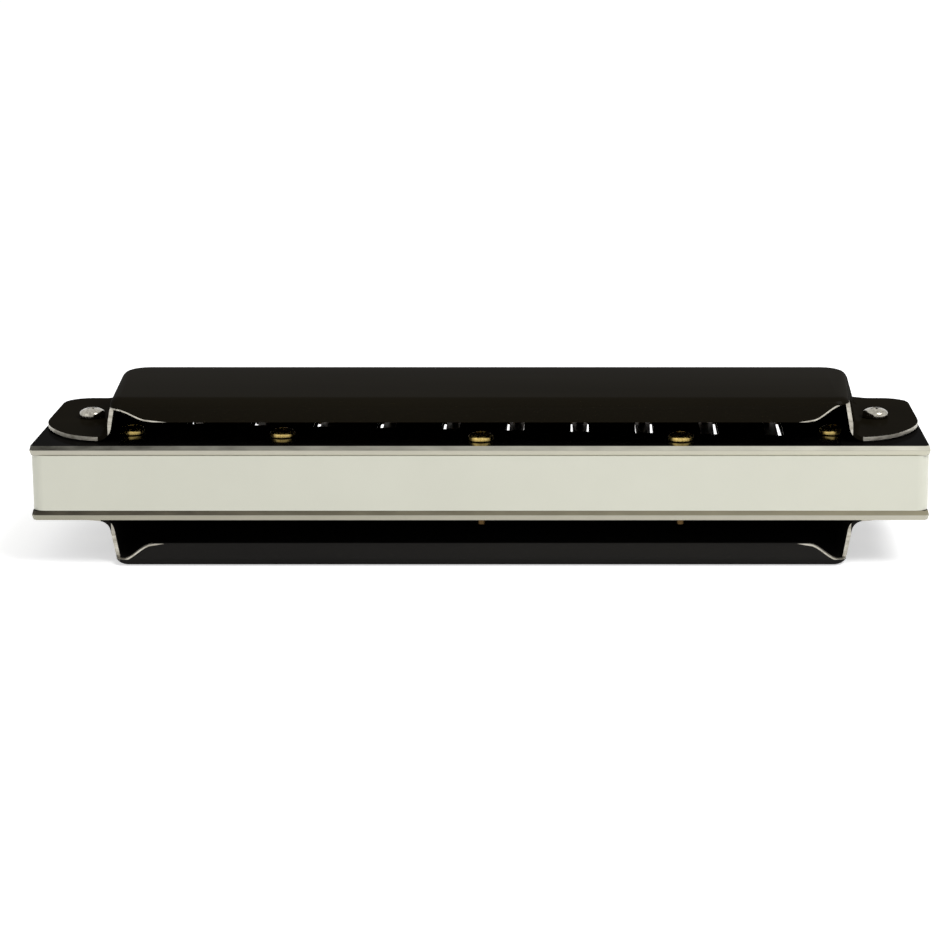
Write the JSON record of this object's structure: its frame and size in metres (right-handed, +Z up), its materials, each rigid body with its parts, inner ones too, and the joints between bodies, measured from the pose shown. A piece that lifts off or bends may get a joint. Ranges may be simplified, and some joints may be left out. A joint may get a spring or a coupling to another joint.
{
  "type": "diatonic harmonica",
  "caption": "Small free-reed mouth organ with a plastic comb between two reed plates, pressed metal covers on both sides, screwed together, its mouth holes in one row along the front",
  "frame": {"origin": "centre of the footprint, on the flat bottom of the lower cover", "axes": "+X along the length towards hole 1, +Y towards the mouth holes, +Z up from the draw plate's cover to the blow plate's cover"},
  "size_m": [0.102, 0.027, 0.0195],
  "materials": {
    "comb_plastic": "ivory moulded, satin",
    "plate": "black, mirror gloss, bare sheared edge",
    "cover": "black, semi-gloss, bare cut edge",
    "reed": "rolled and filed",
    "screw_brass": "bright",
    "nickel": "nickel plated"
  },
  "bodies": {
    "harmonica": {"comb": "comb_plastic", "blow_reed_plate": "plate", "draw_reed_plate": "plate", "blow_rivet_1": "screw_brass", "blow_rivet_2": "screw_brass", "blow_rivet_3": "screw_brass", "blow_rivet_4": "screw_brass", "blow_rivet_5": "screw_brass", "blow_rivet_6": "screw_brass", "blow_rivet_7": "screw_brass", "blow_rivet_8": "screw_brass", "blow_rivet_9": "screw_brass", "blow_rivet_10": "screw_brass", "draw_rivet_1": "screw_brass", "draw_rivet_2": "screw_brass", "draw_rivet_3": "screw_brass", "draw_rivet_4": "screw_brass", "draw_rivet_5": "screw_brass", "draw_rivet_6": "screw_brass", "draw_rivet_7": "screw_brass", "draw_rivet_8": "screw_brass", "draw_rivet_9": "screw_brass", "draw_rivet_10": "screw_brass", "upper_cover": "cover", "lower_cover": "cover", "plate_screw_1": "screw_brass", "plate_screw_2": "screw_brass", "plate_screw_3": "screw_brass", "plate_screw_4": "screw_brass", "plate_screw_5": "screw_brass", "cover_screw_left": "nickel", "cover_nut_left": "nickel", "cover_screw_right": "nickel", "cover_nut_right": "nickel"},
    "blow_reed_1": {"blow_reed_1": "reed"},
    "blow_reed_2": {"blow_reed_2": "reed"},
    "blow_reed_3": {"blow_reed_3": "reed"},
    "blow_reed_4": {"blow_reed_4": "reed"},
    "blow_reed_5": {"blow_reed_5": "reed"},
    "blow_reed_6": {"blow_reed_6": "reed"},
    "blow_reed_7": {"blow_reed_7": "reed"},
    "blow_reed_8": {"blow_reed_8": "reed"},
    "blow_reed_9": {"blow_reed_9": "reed"},
    "blow_reed_10": {"blow_reed_10": "reed"},
    "draw_reed_1": {"draw_reed_1": "reed"},
    "draw_reed_2": {"draw_reed_2": "reed"},
    "draw_reed_3": {"draw_reed_3": "reed"},
    "draw_reed_4": {"draw_reed_4": "reed"},
    "draw_reed_5": {"draw_reed_5": "reed"},
    "draw_reed_6": {"draw_reed_6": "reed"},
    "draw_reed_7": {"draw_reed_7": "reed"},
    "draw_reed_8": {"draw_reed_8": "reed"},
    "draw_reed_9": {"draw_reed_9": "reed"},
    "draw_reed_10": {"draw_reed_10": "reed"}
  },
  "joints": [
    {"name": "blow_reed_1_swing", "type": "hinge", "parent": "harmonica", "child": "blow_reed_1", "pos_m": [0.03375, 0.0075, 0.01243], "axis": [1, 0, 0], "range_deg": [-4.6, 4.6], "stiffness_Nm_per_rad": 0.0114},
    {"name": "blow_reed_2_swing", "type": "hinge", "parent": "harmonica", "child": "blow_reed_2", "pos_m": [0.02625, 0.0075, 0.01243], "axis": [1, 0, 0], "range_deg": [-4.4, 4.4], "stiffness_Nm_per_rad": 0.01198},
    {"name": "blow_reed_3_swing", "type": "hinge", "parent": "harmonica", "child": "blow_reed_3", "pos_m": [0.01875, 0.0075, 0.01243], "axis": [1, 0, 0], "range_deg": [-4.3, 4.3], "stiffness_Nm_per_rad": 0.01262},
    {"name": "blow_reed_4_swing", "type": "hinge", "parent": "harmonica", "child": "blow_reed_4", "pos_m": [0.01125, 0.0075, 0.01243], "axis": [1, 0, 0], "range_deg": [-4.1, 4.1], "stiffness_Nm_per_rad": 0.01334},
    {"name": "blow_reed_5_swing", "type": "hinge", "parent": "harmonica", "child": "blow_reed_5", "pos_m": [0.00375, 0.0075, 0.01243], "axis": [1, 0, 0], "range_deg": [-4, 4], "stiffness_Nm_per_rad": 0.01414},
    {"name": "blow_reed_6_swing", "type": "hinge", "parent": "harmonica", "child": "blow_reed_6", "pos_m": [-0.00375, 0.0075, 0.01243], "axis": [1, 0, 0], "range_deg": [-3.8, 3.8], "stiffness_Nm_per_rad": 0.01504},
    {"name": "blow_reed_7_swing", "type": "hinge", "parent": "harmonica", "child": "blow_reed_7", "pos_m": [-0.01125, 0.0075, 0.01243], "axis": [1, 0, 0], "range_deg": [-3.6, 3.6], "stiffness_Nm_per_rad": 0.01607},
    {"name": "blow_reed_8_swing", "type": "hinge", "parent": "harmonica", "child": "blow_reed_8", "pos_m": [-0.01875, 0.0075, 0.01243], "axis": [1, 0, 0], "range_deg": [-3.3, 3.3], "stiffness_Nm_per_rad": 0.01724},
    {"name": "blow_reed_9_swing", "type": "hinge", "parent": "harmonica", "child": "blow_reed_9", "pos_m": [-0.02625, 0.0075, 0.01243], "axis": [1, 0, 0], "range_deg": [-3, 3], "stiffness_Nm_per_rad": 0.0186},
    {"name": "blow_reed_10_swing", "type": "hinge", "parent": "harmonica", "child": "blow_reed_10", "pos_m": [-0.03375, 0.0075, 0.01243], "axis": [1, 0, 0], "range_deg": [-2.7, 2.7], "stiffness_Nm_per_rad": 0.0202},
    {"name": "draw_reed_1_swing", "type": "hinge", "parent": "harmonica", "child": "draw_reed_1", "pos_m": [0.03375, 0.0075, 0.00492], "axis": [1, 0, 0], "range_deg": [-4.6, 4.6], "stiffness_Nm_per_rad": 0.0114},
    {"name": "draw_reed_2_swing", "type": "hinge", "parent": "harmonica", "child": "draw_reed_2", "pos_m": [0.02625, 0.0075, 0.00492], "axis": [1, 0, 0], "range_deg": [-4.4, 4.4], "stiffness_Nm_per_rad": 0.01198},
    {"name": "draw_reed_3_swing", "type": "hinge", "parent": "harmonica", "child": "draw_reed_3", "pos_m": [0.01875, 0.0075, 0.00492], "axis": [1, 0, 0], "range_deg": [-4.3, 4.3], "stiffness_Nm_per_rad": 0.01262},
    {"name": "draw_reed_4_swing", "type": "hinge", "parent": "harmonica", "child": "draw_reed_4", "pos_m": [0.01125, 0.0075, 0.00492], "axis": [1, 0, 0], "range_deg": [-4.1, 4.1], "stiffness_Nm_per_rad": 0.01334},
    {"name": "draw_reed_5_swing", "type": "hinge", "parent": "harmonica", "child": "draw_reed_5", "pos_m": [0.00375, 0.0075, 0.00492], "axis": [1, 0, 0], "range_deg": [-4, 4], "stiffness_Nm_per_rad": 0.01414},
    {"name": "draw_reed_6_swing", "type": "hinge", "parent": "harmonica", "child": "draw_reed_6", "pos_m": [-0.00375, 0.0075, 0.00492], "axis": [1, 0, 0], "range_deg": [-3.8, 3.8], "stiffness_Nm_per_rad": 0.01504},
    {"name": "draw_reed_7_swing", "type": "hinge", "parent": "harmonica", "child": "draw_reed_7", "pos_m": [-0.01125, 0.0075, 0.00492], "axis": [1, 0, 0], "range_deg": [-3.6, 3.6], "stiffness_Nm_per_rad": 0.01607},
    {"name": "draw_reed_8_swing", "type": "hinge", "parent": "harmonica", "child": "draw_reed_8", "pos_m": [-0.01875, 0.0075, 0.00492], "axis": [1, 0, 0], "range_deg": [-3.3, 3.3], "stiffness_Nm_per_rad": 0.01724},
    {"name": "draw_reed_9_swing", "type": "hinge", "parent": "harmonica", "child": "draw_reed_9", "pos_m": [-0.02625, 0.0075, 0.00492], "axis": [1, 0, 0], "range_deg": [-3, 3], "stiffness_Nm_per_rad": 0.0186},
    {"name": "draw_reed_10_swing", "type": "hinge", "parent": "harmonica", "child": "draw_reed_10", "pos_m": [-0.03375, 0.0075, 0.00492], "axis": [1, 0, 0], "range_deg": [-2.7, 2.7], "stiffness_Nm_per_rad": 0.0202}
  ]
}
